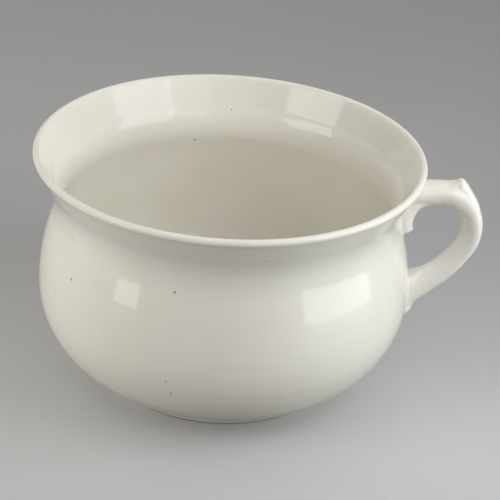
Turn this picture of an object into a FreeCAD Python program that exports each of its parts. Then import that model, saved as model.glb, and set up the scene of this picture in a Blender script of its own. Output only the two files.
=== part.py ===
import FreeCAD, Part
import math
import os
from types import SimpleNamespace
import Sketcher

# Chamber pot of glazed white earthenware: a turned bowl with a flared, rolled rim, a foot ring,
# and one pressed strap handle with a thumb spur, all luted together with slip.
# Millimetres. The origin is on the bowl's axis, in the plane that the foot stands on.
# The handle's middle plane is XZ, with the handle on +X.

SIZES = [
    # bowl, outside
    ("bowl_height", 144.8, "foot plane to the top of the rim"),
    ("neck_radius", 102.2, "outside radius of the neck at its narrowest"),
    ("rim_overhang", 12.8, "how far the rim stands out past the neck"),
    ("belly_swell", 9.2, "how far the belly stands out past the neck"),
    ("belly_height", 59.7, "height of the widest ring of the belly"),
    ("neck_drop", 33.8, "top of the rim down to the narrowest ring of the neck"),
    ("neck_curve", 32.0, "radius of the hollow curve of the neck"),
    ("belly_tuck", 3.0, "how far the belly's lower curve would dip below the foot's seat"),
    ("lip_radius", 2.3, "radius of the rolled lip"),
    ("lip_hollow", 1.5, "radius of the small hollow under the rolled lip"),
    # bowl, inside
    ("belly_wall", 4.6, "wall at the belly"),
    ("neck_wall", 5.0, "wall at the neck"),
    ("band_wall", 4.0, "wall of the flared rim band"),
    ("base_wall", 4.5, "thickness of the base"),
    ("inner_neck_drop", 31.8, "top of the rim down to the narrowest ring inside"),
    ("crease_drop", 17.3, "top of the rim down to the crease inside"),
    ("crease_inset", 12.6, "outer edge of the rim in to the crease"),
    # foot
    ("foot_height", 5.2, "height of the foot ring"),
    ("foot_ledge", 1.0, "step in from the bowl to the foot ring"),
    ("foot_width", 9.5, "width of the foot ring where it is luted on"),
    ("foot_taper", 0.9, "how far each side of the foot ring draws in"),
    ("foot_round", 1.4, "rounding of the foot ring's resting edges"),
    ("foot_slip_leg", 2.0, "leg of the slip fillet inside the foot ring"),
    # strap handle
    ("handle_drop", 23.7, "top of the rim down to the strap's middle line at the neck"),
    ("handle_rise", 3.0, "slope of the upper limb, degrees"),
    ("limb_length", 23.0, "upper limb's straight run, from the neck's narrowest ring"),
    ("shoulder_curve", 20.0, "middle-line radius of the handle's shoulder"),
    ("shoulder_turn", 61.3, "turn of the shoulder, degrees"),
    ("side_curve", 25.6, "middle-line radius of the handle's side"),
    ("side_turn", 60.9, "turn of the side, degrees"),
    ("lower_curve", 68.0, "middle-line radius of the lower limb"),
    ("lower_turn", 23.8, "turn of the lower limb, degrees"),
    ("tail_length", 26.0, "straight run at the end of the lower limb"),
    ("strap_thickness", 13.5, "strap across its thin way"),
    ("strap_width", 18.4, "strap across its wide way"),
    ("root_flare", 4.0, "extra strap width at its two ends"),
    ("tail_swell", 3.6, "extra strap thickness at its lower end"),
    # thumb spur
    ("spur_place", 26.0, "turn of the shoulder up to the spur, degrees"),
    ("spur_rise", 5.0, "how far the spur stands above the strap"),
    ("spur_length", 20.8, "length of the spur where it leaves the strap"),
    ("spur_width", 14.8, "width of the spur where it leaves the strap"),
    ("spur_lean", 2.4, "how far the spur leans back towards the bowl"),
    # terminals
    ("tongue_reach", 9.5, "how far the upper terminal stands out from the neck"),
    ("tongue_drop", 21.6, "length of the upper terminal below the strap"),
    ("tongue_width", 21.0, "width of the upper terminal"),
    ("crook_curve", 9.5, "radius of the crook between the upper limb and its terminal"),
    ("leaf_rise", 5.9, "how far above the strap's lower end the lower terminal starts"),
    ("leaf_drop", 22.5, "length of the lower terminal"),
    ("leaf_thickness", 8.5, "thickness of the lower terminal"),
    ("leaf_width", 24.0, "width of the lower terminal"),
    ("seam_width", 1.5, "width and height of the slip seams round the terminals"),
]

doc = FreeCAD.newDocument("chamber_pot")
sheet = doc.addObject("Spreadsheet::Sheet", "sizes")
for row, (alias, value, meaning) in enumerate(SIZES, start=1):
    sheet.set("A%d" % row, alias)
    sheet.set("B%d" % row, str(value))
    sheet.setAlias("B%d" % row, alias)
    sheet.set("C%d" % row, meaning)
doc.recompute()


def size(name):
    return float(sheet.get(name))


def point(x, z):
    return FreeCAD.Vector(x, z, 0)


def bowl_curves():
    """Centres, radii and tangent angles of the bowl's outline, from the sizes."""
    top = size("bowl_height")
    neck = size("neck_radius")
    swell = size("belly_swell")
    belly_z = size("belly_height")
    c = SimpleNamespace(top=top, neck=neck, belly_z=belly_z, seat=size("foot_height"))
    c.rim = neck + size("rim_overhang")
    c.belly = neck + swell
    # lower belly: one arc from the seat of the foot to the widest ring
    c.lower_r = belly_z - c.seat + size("belly_tuck")
    c.lower_x = c.belly - c.lower_r
    c.seat_angle = -math.asin((belly_z - c.seat) / c.lower_r)
    c.seat_x = c.lower_x + c.lower_r * math.cos(c.seat_angle)
    # hollow of the neck and the upper belly arc that meets it
    c.neck_z = top - size("neck_drop")
    c.neck_r = size("neck_curve")
    c.hollow_x = neck + c.neck_r
    rise = c.neck_z - belly_z
    both = (rise ** 2 + swell ** 2) / (2 * swell)
    c.upper_r = both - c.neck_r
    c.upper_angle = math.asin(rise / both)
    # rolled lip, and the flare that leaves the hollow of the neck for it
    c.lip_r = size("lip_radius")
    c.lip_x = c.rim - c.lip_r
    c.lip_z = top - c.lip_r
    c.flare_off = size("band_wall") - c.lip_r
    dx = c.hollow_x - c.lip_x
    dz = c.lip_z - c.neck_z
    c.flare = math.atan2(dz, dx) - math.acos((c.neck_r + c.flare_off) / math.hypot(dx, dz))
    c.under_r = size("lip_hollow")
    across = c.flare_off + c.under_r
    along = math.sqrt((c.lip_r + c.under_r) ** 2 - across ** 2)
    c.under_x = c.lip_x + across * math.cos(c.flare) - along * math.sin(c.flare)
    c.under_z = c.lip_z - across * math.sin(c.flare) - along * math.cos(c.flare)
    c.under_angle = math.atan2(c.under_z - c.lip_z, c.under_x - c.lip_x)
    # inside: band, crease, neck, belly and floor
    c.crease_x = c.rim - size("crease_inset")
    c.crease_z = top - size("crease_drop")
    dx = c.lip_x - c.crease_x
    dz = c.lip_z - c.crease_z
    c.band = math.acos(c.lip_r / math.hypot(dx, dz)) - math.atan2(dz, dx)
    c.in_neck = neck - size("neck_wall")
    c.in_neck_z = top - size("inner_neck_drop")
    step = c.crease_x - c.in_neck
    lift = c.crease_z - c.in_neck_z
    c.in_neck_r = (lift ** 2 + step ** 2) / (2 * step)
    c.crease_angle = math.pi - math.asin(lift / c.in_neck_r)
    c.in_belly = c.belly - size("belly_wall")
    rise = c.in_neck_z - belly_z
    swell = c.in_belly - c.in_neck
    both = (rise ** 2 + swell ** 2) / (2 * swell)
    c.in_upper_r = both - c.in_neck_r
    c.in_upper_angle = math.asin(rise / both)
    c.floor = c.seat + size("base_wall")
    c.in_lower_r = belly_z - c.floor
    return c


class Outline:
    """A chain of lines and arcs in a sketch, each piece travelled from its start to its end."""

    def __init__(self, sketch):
        self.sketch = sketch
        self.ends = {}

    def line(self, x0, z0, x1, z1):
        index = self.sketch.addGeometry(Part.LineSegment(point(x0, z0), point(x1, z1)), False)
        self.ends[index] = (1, 2)
        return index

    def arc(self, x, z, radius, start, end):
        circle = Part.Circle(point(x, z), FreeCAD.Vector(0, 0, 1), radius)
        low, high = min(start, end), max(start, end)
        index = self.sketch.addGeometry(Part.ArcOfCircle(circle, low, high), False)
        self.ends[index] = (1, 2) if end > start else (2, 1)
        return index

    def join(self, kind, first, second):
        self.sketch.addConstraint(
            Sketcher.Constraint(kind, first, self.ends[first][1], second, self.ends[second][0]))

    def on_axis(self, index, which):
        """Which end of a piece, 0 or 1, lies on the vertical axis."""
        self.sketch.addConstraint(Sketcher.Constraint("PointOnObject", index, self.ends[index][which], -2))

    def bind(self, kind, *place, value, formula):
        number = self.sketch.addConstraint(Sketcher.Constraint(kind, *place, value))
        self.sketch.setExpression("Constraints[%d]" % number, formula)

    def radius(self, index, value, formula):
        self.bind("Radius", index, value=value, formula=formula)

    def across(self, index, which, value, formula):
        """Distance of a point of a piece from the axis. Which is 0 or 1 for an end, 3 for a centre."""
        spot = 3 if which == 3 else self.ends[index][which]
        self.bind("DistanceX", -1, 1, index, spot, value=value, formula=formula)

    def up(self, index, which, value, formula):
        """Height of a point of a piece above the foot plane."""
        spot = 3 if which == 3 else self.ends[index][which]
        self.bind("DistanceY", -1, 1, index, spot, value=value, formula=formula)


NECK_Z = "sizes.bowl_height - sizes.neck_drop"
BELLY_X = "sizes.neck_radius + sizes.belly_swell"
RIM_X = "sizes.neck_radius + sizes.rim_overhang"
LOWER_R = "sizes.belly_height - sizes.foot_height + sizes.belly_tuck"
FLOOR_Z = "sizes.foot_height + sizes.base_wall"
IN_NECK_X = "sizes.neck_radius - sizes.neck_wall"
IN_NECK_RISE = "(sizes.inner_neck_drop - sizes.crease_drop)"
IN_NECK_STEP = "(sizes.rim_overhang - sizes.crease_inset + sizes.neck_wall)"
IN_NECK_R = "(%s ^ 2 + %s ^ 2) / (2 * %s)" % (IN_NECK_RISE, IN_NECK_STEP, IN_NECK_STEP)
SEAT_X = "%s - (%s) + sqrt((%s) ^ 2 - (sizes.belly_height - sizes.foot_height) ^ 2)" % (
    BELLY_X, LOWER_R, LOWER_R)
OUTER_X = SEAT_X + " - sizes.foot_ledge"
FOOT_REACH = "sizes.foot_round * tan((90 deg - atan2(sizes.foot_taper; sizes.foot_height)) / 2)"

# how far inside the neck the strap's first section lies
STRAP_LEAD = 5.0
# greatest distance between neighbouring sections of the strap
STATION_STEP = 4.0
# points that an oval section is drawn through
OVAL_POINTS = 16
# shares of the strap's length over which it flares at its root and swells at its tail
ROOT_SHARE = 0.25
TAIL_SHARE = 0.72
# form of the spur: how deep it starts in the strap, where it is cut off and how it shrinks
SPUR_SINK = 2.2
SPUR_STEPS = 6
SPUR_TOP = 0.97
SPUR_CENTRE = 0.85
SPUR_LENGTH_POWER = 0.75
SPUR_WIDTH_POWER = 0.6
# share of the tongue's length that is its rounded tip, how far its crook runs up into the strap,
# and how much it narrows inside the strap
TIP_SHARE = 0.35
CROOK_BITE = 1.5
CAP_NARROW = 0.3
# where along its length the leaf is widest, and how much narrower it starts
LEAF_WIDEST = 0.38
LEAF_NECK = 0.35
# half the side of the boxes that part the upper seam from the lower
SEAM_REACH = 60.0
# how far the seams' blank runs past the handle's ends, and how many steps its side has
SEAM_MARGIN = 4.0
SEAM_LEVELS = 24


def outside(chain, c):
    """The bowl's outside from the seat of the foot up to the rolled lip. Returns first and last piece."""
    base = chain.line(0, c.seat, c.seat_x, c.seat)
    lower = chain.arc(c.lower_x, c.belly_z, c.lower_r, c.seat_angle, 0)
    upper = chain.arc(c.belly - c.upper_r, c.belly_z, c.upper_r, 0, c.upper_angle)
    neck = chain.arc(c.hollow_x, c.neck_z, c.neck_r, math.pi + c.upper_angle, math.pi - c.flare)
    under_x = c.under_x - c.under_r * math.cos(c.flare)
    under_z = c.under_z + c.under_r * math.sin(c.flare)
    flare = chain.line(c.hollow_x - c.neck_r * math.cos(c.flare), c.neck_z + c.neck_r * math.sin(c.flare),
                       under_x, under_z)
    under = chain.arc(c.under_x, c.under_z, c.under_r, math.pi - c.flare, math.pi + c.under_angle)
    lip = chain.arc(c.lip_x, c.lip_z, c.lip_r, c.under_angle, math.pi - c.band)
    chain.on_axis(base, 0)
    chain.sketch.addConstraint(Sketcher.Constraint("Horizontal", base))
    chain.join("Coincident", base, lower)
    for first, second in ((lower, upper), (upper, neck), (neck, flare), (flare, under), (under, lip)):
        chain.join("Tangent", first, second)
    chain.up(base, 0, c.seat, "sizes.foot_height")
    chain.radius(lower, c.lower_r, LOWER_R)
    chain.across(lower, 1, c.belly, BELLY_X)
    chain.up(lower, 3, c.belly_z, "sizes.belly_height")
    chain.up(upper, 3, c.belly_z, "sizes.belly_height")
    chain.radius(neck, c.neck_r, "sizes.neck_curve")
    chain.across(neck, 3, c.hollow_x, "sizes.neck_radius + sizes.neck_curve")
    chain.up(neck, 3, c.neck_z, NECK_Z)
    chain.radius(under, c.under_r, "sizes.lip_hollow")
    chain.radius(lip, c.lip_r, "sizes.lip_radius")
    chain.across(lip, 3, c.lip_x, RIM_X + " - sizes.lip_radius")
    chain.up(lip, 3, c.lip_z, "sizes.bowl_height - sizes.lip_radius")
    chain.bind("Distance", lip, 3, flare, value=c.flare_off, formula="sizes.band_wall - sizes.lip_radius")
    return base, lip


def inside(chain, c, base, lip):
    """The bowl's inside from the lip down over the crease and neck to the floor, and the axis."""
    band = chain.line(c.lip_x - c.lip_r * math.cos(c.band), c.lip_z + c.lip_r * math.sin(c.band),
                      c.crease_x, c.crease_z)
    neck = chain.arc(c.in_neck + c.in_neck_r, c.in_neck_z, c.in_neck_r,
                     c.crease_angle, math.pi + c.in_upper_angle)
    upper = chain.arc(c.in_belly - c.in_upper_r, c.belly_z, c.in_upper_r, c.in_upper_angle, 0)
    lower = chain.arc(c.in_belly - c.in_lower_r, c.belly_z, c.in_lower_r, 0, -math.pi / 2)
    floor = chain.line(c.in_belly - c.in_lower_r, c.floor, 0, c.floor)
    axis = chain.line(0, c.floor, 0, c.seat)
    chain.join("Tangent", lip, band)
    chain.join("Coincident", band, neck)
    for first, second in ((neck, upper), (upper, lower), (lower, floor)):
        chain.join("Tangent", first, second)
    chain.join("Coincident", floor, axis)
    chain.join("Coincident", axis, base)
    chain.on_axis(floor, 1)
    chain.sketch.addConstraint(Sketcher.Constraint("Horizontal", floor))
    chain.across(band, 1, c.crease_x, RIM_X + " - sizes.crease_inset")
    chain.up(band, 1, c.crease_z, "sizes.bowl_height - sizes.crease_drop")
    chain.across(neck, 3, c.in_neck + c.in_neck_r, IN_NECK_X + " + " + IN_NECK_R)
    chain.up(neck, 3, c.in_neck_z, "sizes.bowl_height - sizes.inner_neck_drop")
    chain.up(upper, 3, c.belly_z, "sizes.belly_height")
    chain.up(lower, 3, c.belly_z, "sizes.belly_height")
    chain.radius(lower, c.in_lower_r, "sizes.belly_height - (%s)" % FLOOR_Z)
    chain.across(lower, 0, c.in_belly, BELLY_X + " - sizes.belly_wall")


def origin_plane(body, role):
    for feature in body.Origin.OriginFeatures:
        if feature.Role == role:
            return feature
    raise ValueError("no origin plane " + role)


def turned_body(label, draw):
    """A body turned about the vertical axis from the outline that draw makes in the XZ plane."""
    body = doc.addObject("PartDesign::Body", label)
    sketch = body.newObject("Sketcher::SketchObject", label + "_outline")
    sketch.AttachmentSupport = (origin_plane(body, "XZ_Plane"), "")
    sketch.MapMode = "FlatFace"
    draw(Outline(sketch))
    doc.recompute()
    turn = body.newObject("PartDesign::Revolution", label + "_turned")
    turn.Profile = sketch
    turn.ReferenceAxis = (sketch, ["V_Axis"])
    turn.Angle = 360.0
    doc.recompute()
    return body


curves = bowl_curves()


def draw_bowl(chain):
    base, lip = outside(chain, curves)
    inside(chain, curves, base, lip)


def draw_foot(chain):
    """A ring that tapers down from its luted top to rounded resting edges."""
    c = curves
    round_r = size("foot_round")
    taper = size("foot_taper")
    outer = c.seat_x - size("foot_ledge")
    inner = outer - size("foot_width")
    slope = math.atan2(taper, c.seat)
    # how far along the resting face the rounding of a tapered side reaches
    reach = round_r * math.tan((math.pi / 2 - slope) / 2)
    foot_out = outer - taper
    foot_in = inner + taper
    top = chain.line(inner, c.seat, outer, c.seat)
    side_out = chain.line(outer, c.seat, foot_out + reach * math.sin(slope), reach * math.cos(slope))
    edge_out = chain.arc(foot_out - reach, round_r, round_r, -slope, -math.pi / 2)
    rest = chain.line(foot_out - reach, 0, foot_in + reach, 0)
    edge_in = chain.arc(foot_in + reach, round_r, round_r, -math.pi / 2, -math.pi + slope)
    side_in = chain.line(foot_in - reach * math.sin(slope), reach * math.cos(slope), inner, c.seat)
    chain.join("Coincident", top, side_out)
    for first, second in ((side_out, edge_out), (edge_out, rest), (rest, edge_in), (edge_in, side_in)):
        chain.join("Tangent", first, second)
    chain.join("Coincident", side_in, top)
    for flat in (top, rest):
        chain.sketch.addConstraint(Sketcher.Constraint("Horizontal", flat))
    chain.up(top, 0, c.seat, "sizes.foot_height")
    chain.sketch.addConstraint(Sketcher.Constraint("PointOnObject", rest, 1, -1))
    for edge, side in ((edge_out, OUTER_X + " - sizes.foot_taper - " + FOOT_REACH),
                       (edge_in, OUTER_X + " - sizes.foot_width + sizes.foot_taper + " + FOOT_REACH)):
        chain.radius(edge, round_r, "sizes.foot_round")
        chain.across(edge, 3, foot_out - reach if edge == edge_out else foot_in + reach, side)
    chain.across(top, 1, outer, OUTER_X)
    chain.across(top, 0, inner, OUTER_X + " - sizes.foot_width")


def draw_foot_slip(chain):
    """A small hollow fillet of slip in the corner between the base and the foot ring's inner side."""
    c = curves
    leg = size("foot_slip_leg")
    inner = c.seat_x - size("foot_ledge") - size("foot_width")
    low = inner + size("foot_taper") * leg / c.seat
    base = chain.line(inner - leg, c.seat, inner, c.seat)
    side = chain.line(inner, c.seat, low, c.seat - leg)
    face = chain.line(low, c.seat - leg, inner - leg, c.seat)
    for first, second in ((base, side), (side, face), (face, base)):
        chain.join("Coincident", first, second)
    chain.sketch.addConstraint(Sketcher.Constraint("Horizontal", base))
    chain.up(base, 0, c.seat, "sizes.foot_height")
    chain.across(base, 1, inner, OUTER_X + " - sizes.foot_width")
    chain.across(base, 0, inner - leg, OUTER_X + " - sizes.foot_width - sizes.foot_slip_leg")
    chain.up(side, 1, c.seat - leg, "sizes.foot_height - sizes.foot_slip_leg")
    chain.across(side, 1, low, OUTER_X + " - sizes.foot_width + sizes.foot_taper"
                 " * sizes.foot_slip_leg / sizes.foot_height")


def ramp(t):
    """Smooth rise from 0 to 1."""
    t = min(max(t, 0.0), 1.0)
    return t * t * (3 - 2 * t)


def strap_runs():
    """The strap's middle line in the XZ plane: straight runs and turns, as (length, radius, turn)."""
    slope = math.radians(size("handle_rise"))
    lead = STRAP_LEAD / math.cos(slope)
    runs = [(lead + size("limb_length"), 0, 0)]
    for name in ("shoulder", "side", "lower"):
        radius = size(name + "_curve")
        turn = math.radians(size(name + "_turn"))
        runs.append((radius * turn, radius, turn))
    runs.append((size("tail_length"), 0, 0))
    return runs


def strap_stations():
    """Points along the middle line with their direction and share of the whole length."""
    runs = strap_runs()
    total = sum(length for length, radius, turn in runs)
    angle = math.radians(size("handle_rise"))
    x = size("neck_radius") - STRAP_LEAD
    z = size("bowl_height") - size("handle_drop") - STRAP_LEAD * math.tan(angle)
    stations = [(x, z, angle, 0.0)]
    gone = 0.0
    for length, radius, turn in runs:
        steps = math.ceil(length / STATION_STEP)
        for k in range(steps):
            if radius:
                bend = turn / steps
                chord = 2 * radius * math.sin(bend / 2)
                x += chord * math.cos(angle - bend / 2)
                z += chord * math.sin(angle - bend / 2)
                angle -= bend
            else:
                x += length / steps * math.cos(angle)
                z += length / steps * math.sin(angle)
            gone += length / steps
            stations.append((x, z, angle, gone / total))
    return stations


def oval(name, place, half_width, half_depth):
    """A closed oval section: its width lies along its placement's X, its depth along its Y."""
    points = []
    for k in range(OVAL_POINTS):
        turn = 2 * math.pi * k / OVAL_POINTS
        points.append(FreeCAD.Vector(half_width * math.cos(turn), half_depth * math.sin(turn), 0))
    curve = Part.BSplineCurve()
    curve.interpolate(Points=points, PeriodicFlag=True)
    section = doc.addObject("Part::Feature", name)
    section.Shape = Part.Wire([curve.toShape()])
    section.Placement = place
    return section


def frame_at(x, z, angle):
    """A section plane across a line that runs at this angle in XZ: X is the pot's Y, Y points outwards."""
    wide = FreeCAD.Vector(0, 1, 0)
    outward = FreeCAD.Vector(-math.sin(angle), 0, math.cos(angle))
    ahead = FreeCAD.Vector(math.cos(angle), 0, math.sin(angle))
    return FreeCAD.Placement(FreeCAD.Vector(x, 0, z), FreeCAD.Rotation(wide, outward, ahead, "ZXY"))


def loft(name, sections, ruled=False):
    form = doc.addObject("Part::Loft", name)
    form.Sections = sections
    form.Solid = True
    form.Ruled = ruled
    return form


def strap(name, extra):
    sections = []
    for k, (x, z, angle, share) in enumerate(strap_stations()):
        flare = max(ramp(1 - share / ROOT_SHARE), ramp((share - TAIL_SHARE) / (1 - TAIL_SHARE)))
        swell = ramp((share - TAIL_SHARE) / (1 - TAIL_SHARE))
        half_width = (size("strap_width") + size("root_flare") * flare) / 2 + extra
        half_depth = (size("strap_thickness") + size("tail_swell") * swell) / 2 + extra
        sections.append(oval("%s_section_%d" % (name, k), frame_at(x, z, angle), half_width, half_depth))
    return loft(name, sections, ruled=True)


def shoulder_centre():
    slope = math.radians(size("handle_rise"))
    radius = size("shoulder_curve")
    x = size("neck_radius") + size("limb_length") * math.cos(slope) + radius * math.sin(slope)
    z = size("bowl_height") - size("handle_drop") + size("limb_length") * math.sin(slope)
    return x, z - radius * math.cos(slope)


def spur(name):
    """A blunt thumb spur: ovals that shrink as they rise off the shoulder and lean back to the bowl."""
    cx, cz = shoulder_centre()
    up = math.radians(90 + size("handle_rise") - size("spur_place"))
    crown = size("shoulder_curve") + size("strap_thickness") / 2
    sections = []
    for k in range(SPUR_STEPS + 1):
        t = SPUR_TOP * k / SPUR_STEPS
        height = crown - SPUR_SINK + (size("spur_rise") + SPUR_SINK) * t
        shift = size("spur_lean") * (SPUR_CENTRE - t)
        x = cx + height * math.cos(up) + shift * math.sin(up)
        z = cz + height * math.sin(up) - shift * math.cos(up)
        half_length = size("spur_length") / 2 * (1 - t) ** SPUR_LENGTH_POWER
        half_width = size("spur_width") / 2 * (1 - t) ** SPUR_WIDTH_POWER
        sections.append(oval("%s_section_%d" % (name, k), frame_at(x, z, up), half_width, half_length))
    return loft(name, sections)


def bowl_radius_at(z):
    """Outside radius of the bowl's lower and upper belly and neck at a height."""
    c = curves
    if z <= c.belly_z:
        return c.lower_x + math.sqrt(c.lower_r ** 2 - (c.belly_z - z) ** 2)
    if z <= c.belly_z + c.upper_r * math.sin(c.upper_angle):
        return c.belly - c.upper_r + math.sqrt(c.upper_r ** 2 - (z - c.belly_z) ** 2)
    return c.hollow_x - math.sqrt(c.neck_r ** 2 - (z - c.neck_z) ** 2)


def level_oval(name, z, centre_x, half_x, half_y):
    half_turn = FreeCAD.Rotation(FreeCAD.Vector(0, 0, 1), 180)
    place = FreeCAD.Placement(FreeCAD.Vector(centre_x, 0, z), half_turn)
    return oval(name, place, half_x, half_y)


def tongue(name, extra):
    """The upper terminal: it fills the crook under the limb and runs down the neck to a rounded tip."""
    slope = math.radians(size("handle_rise"))
    crook = size("crook_curve")
    reach = size("tongue_reach")
    under = (size("bowl_height") - size("handle_drop") - size("strap_thickness") / 2
             + (reach + crook) * math.tan(slope))
    bend_top = under + CROOK_BITE
    cap = under + size("strap_thickness") / 2
    bottom = under - size("tongue_drop") - extra
    tip = size("tongue_drop") * TIP_SHARE
    levels = [bottom + tip * (1 - math.sin(math.radians(turn))) for turn in (86, 75, 55, 30, 0)]
    levels += [bend_top - crook * (1 - math.cos(math.radians(turn))) for turn in (90, 68, 46, 24, 0)]
    levels.append(cap)
    sections = []
    for k, z in enumerate(levels):
        climb = min(max(z - (bend_top - crook), 0.0), crook)
        fillet = crook - math.sqrt(crook ** 2 - climb ** 2)
        fall = min(max((bottom + tip - z) / tip, 0.0), 1.0)
        round_off = math.sqrt(1 - fall ** 2)
        narrow = 1 - CAP_NARROW * ramp((z - (bend_top - crook)) / (cap - bend_top + crook))
        half_x = (reach + extra) * round_off + fillet
        half_y = (size("tongue_width") / 2 + extra) * narrow * round_off ** 0.75
        sections.append(level_oval("%s_section_%d" % (name, k), z, size("neck_radius"), half_x, half_y))
    return loft(name, sections, ruled=True)


def leaf_top():
    """Height where the lower terminal starts, inside the strap's lower end."""
    return strap_stations()[-1][1] + size("leaf_rise")


def leaf(name, extra):
    """The lower terminal: a leaf that widens out of the strap, then thins and narrows down the belly."""
    drop = size("leaf_drop") + extra
    inside = size("belly_wall") / 2
    sections = []
    for k, turn in enumerate((84, 73, 62, 50, 36, 20, 0)):
        share = math.sin(math.radians(turn))
        z = leaf_top() - drop * share
        thin = math.cos(math.radians(turn))
        if share > LEAF_WIDEST:
            wide = math.sqrt(1 - ((share - LEAF_WIDEST) / (1 - LEAF_WIDEST)) ** 2)
        else:
            wide = 1 - LEAF_NECK * (1 - share / LEAF_WIDEST) ** 2
        centre_x = bowl_radius_at(z) - inside
        half_x = (size("leaf_thickness") + extra) * thin + inside
        half_y = (size("leaf_width") / 2 + extra) * wide
        sections.append(level_oval("%s_section_%d" % (name, k), z, centre_x, half_x, half_y))
    return loft(name, sections)


def bowl_blank():
    """The bowl's outside as one full solid, to which the handle's ends are fitted."""
    sketch = doc.addObject("Sketcher::SketchObject", "blank_outline")
    sketch.Placement = FreeCAD.Placement(FreeCAD.Vector(), FreeCAD.Rotation(FreeCAD.Vector(1, 0, 0), 90))
    chain = Outline(sketch)
    c = curves
    base, lip = outside(chain, c)
    top = chain.line(c.lip_x - c.lip_r * math.cos(c.band), c.lip_z + c.lip_r * math.sin(c.band),
                     0, c.lip_z + c.lip_r * math.sin(c.band))
    axis = chain.line(0, c.lip_z + c.lip_r * math.sin(c.band), 0, c.seat)
    chain.join("Coincident", lip, top)
    chain.join("Coincident", top, axis)
    chain.join("Coincident", axis, base)
    chain.on_axis(top, 1)
    chain.sketch.addConstraint(Sketcher.Constraint("Horizontal", top))
    blank = doc.addObject("Part::Revolution", "bowl_blank")
    blank.Source = sketch
    blank.Axis = (0, 0, 1)
    blank.Angle = 360
    blank.Solid = True
    return blank


def seam_blank():
    """A solid that stands out past the bowl by the width of the seams, over the handle's height."""
    low = leaf_top() - size("leaf_drop") - SEAM_MARGIN
    high = size("bowl_height") - size("handle_drop") + size("strap_thickness") / 2 + SEAM_MARGIN
    outline = []
    for k in range(SEAM_LEVELS + 1):
        z = low + (high - low) * k / SEAM_LEVELS
        outline.append(FreeCAD.Vector(bowl_radius_at(z) + size("seam_width"), 0, z))
    side = Part.BSplineCurve()
    side.interpolate(outline)
    foot = FreeCAD.Vector(0, 0, low)
    head = FreeCAD.Vector(0, 0, high)
    edges = [Part.LineSegment(foot, outline[0]).toShape(), side.toShape(),
             Part.LineSegment(outline[-1], head).toShape(), Part.LineSegment(head, foot).toShape()]
    profile = doc.addObject("Part::Feature", "seam_outline")
    profile.Shape = Part.Wire(edges)
    grown = doc.addObject("Part::Revolution", "grown_blank")
    grown.Source = profile
    grown.Axis = (0, 0, 1)
    grown.Angle = 360
    grown.Solid = True
    return grown


def boolean(kind, name, base, tool):
    form = doc.addObject("Part::" + kind, name)
    form.Base = base
    form.Tool = tool
    return form


def fused(name, shapes):
    form = doc.addObject("Part::MultiFuse", name)
    form.Shapes = shapes
    return form


def joined_forms(name, extra):
    """The strap, spur and both terminals in one, all grown outwards by extra."""
    forms = [strap(name + "_strap", extra), tongue(name + "_tongue", extra), leaf(name + "_leaf", extra)]
    if not extra:
        forms.append(spur(name + "_spur"))
    return fused(name, forms)


def half_space(name, low, high):
    """A box round the handle's ends between two heights."""
    box = doc.addObject("Part::Box", name)
    box.Length = 2 * SEAM_REACH
    box.Width = 2 * SEAM_REACH
    box.Height = high - low
    box.Placement = FreeCAD.Placement(
        FreeCAD.Vector(size("neck_radius") - SEAM_REACH, -SEAM_REACH, low), FreeCAD.Rotation())
    return box


bowl = turned_body("bowl", draw_bowl)
foot_ring = turned_body("foot_ring", draw_foot)
foot_slip = turned_body("foot_slip", draw_foot_slip)
blank = bowl_blank()
handle_form = joined_forms("handle_form", 0)
doc.recompute()
handle = boolean("Cut", "handle", handle_form, blank)

grown_blank = seam_blank()
grown_form = joined_forms("grown_form", size("seam_width"))
doc.recompute()
skin = boolean("Cut", "seam_skin", grown_blank, blank)
band = boolean("Common", "seam_band", skin, grown_form)
seams = boolean("Cut", "seams", band, handle_form)
doc.recompute()
tongue_end = size("bowl_height") - size("handle_drop") - size("strap_thickness") / 2 - size("tongue_drop")
middle = (leaf_top() + tongue_end) / 2
upper_seam = boolean("Common", "upper_seam", seams, half_space("upper_part", middle, size("bowl_height")))
lower_seam = boolean("Common", "lower_seam", seams, half_space("lower_part", 0, middle))
doc.recompute()

pieces = [bowl, foot_ring, foot_slip, handle, upper_seam, lower_seam]
for thing in doc.Objects:
    if "Invalid" in thing.State or "Error" in thing.State:
        raise ValueError("%s did not compute: %s" % (thing.Label, thing.State))
for piece in pieces:
    if piece.Shape.isNull() or not piece.Shape.isValid() or not piece.Shape.Solids:
        raise ValueError("%s has no valid solid" % piece.Label)
os.makedirs("parts", exist_ok=True)
for piece in pieces:
    piece.Shape.exportStep("parts/%s.step" % piece.Label)
    solids = len(piece.Shape.Solids)
    print("%s: %d solid, %.2f cubic centimetres" % (piece.Label, solids, piece.Shape.Volume / 1000))
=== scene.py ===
import math

import bpy
import numpy as np
from mathutils import Matrix, Vector


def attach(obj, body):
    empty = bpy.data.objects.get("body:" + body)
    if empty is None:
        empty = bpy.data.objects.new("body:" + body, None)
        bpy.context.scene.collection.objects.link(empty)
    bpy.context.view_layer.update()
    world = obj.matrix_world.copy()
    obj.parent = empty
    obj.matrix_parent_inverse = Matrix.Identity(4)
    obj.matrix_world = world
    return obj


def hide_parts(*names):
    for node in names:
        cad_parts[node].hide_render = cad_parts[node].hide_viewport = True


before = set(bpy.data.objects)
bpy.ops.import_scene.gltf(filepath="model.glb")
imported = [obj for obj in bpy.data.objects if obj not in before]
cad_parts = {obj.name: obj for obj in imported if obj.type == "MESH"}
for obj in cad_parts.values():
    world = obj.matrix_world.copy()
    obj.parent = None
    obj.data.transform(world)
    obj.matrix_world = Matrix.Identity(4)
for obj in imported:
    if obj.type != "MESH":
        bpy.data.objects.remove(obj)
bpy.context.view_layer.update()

# Sizes are millimetres, in the frame of the solids: origin on the bowl's axis in the foot plane,
# +X towards the handle. MM turns them into metres when a mesh is made.
MM = 0.001

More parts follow.
